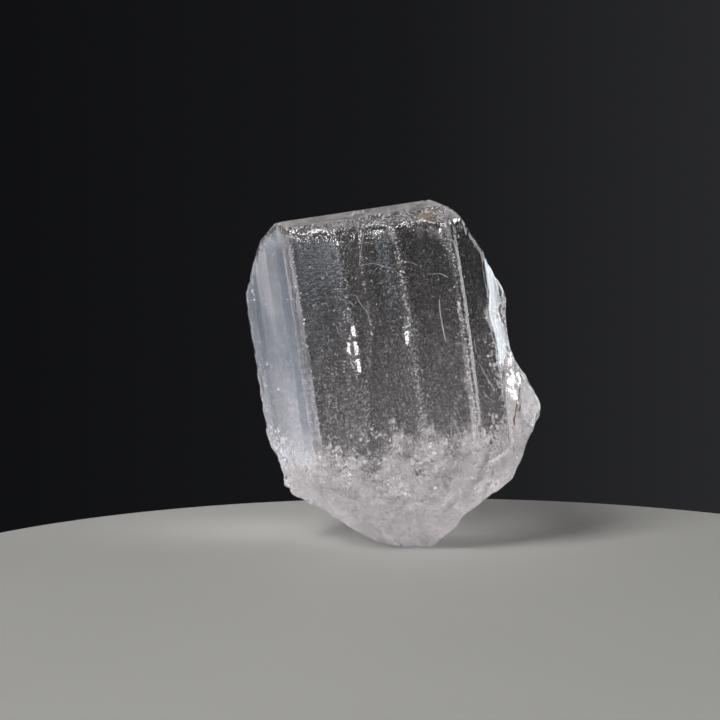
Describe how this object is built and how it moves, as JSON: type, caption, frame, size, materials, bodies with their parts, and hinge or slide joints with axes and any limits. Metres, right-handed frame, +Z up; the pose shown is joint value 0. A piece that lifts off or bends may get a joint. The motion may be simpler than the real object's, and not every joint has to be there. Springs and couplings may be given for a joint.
{
  "type": "raw topaz crystal",
  "caption": "Loose clear topaz crystal: a fluted prism with a flat top, a sloping side facet and a broken, shell-fractured base that it stands on.",
  "frame": {"origin": "on the ground, under the middle of the stone's box as it stands", "axes": "+Z up from the foot facet; +X to the viewer's right and -Y towards the viewer, who looks at the broad fluted side; the prism's own axis leans 8.5 degrees from +Z towards -X"},
  "size_m": [0.0254, 0.0186, 0.0294],
  "materials": {
    "clear_topaz": "clear and glassy on the prism faces, milky and slightly frosted where it is broken"
  },
  "bodies": {
    "root": {"topaz_crystal": "clear_topaz"}
  },
  "joints": []
}
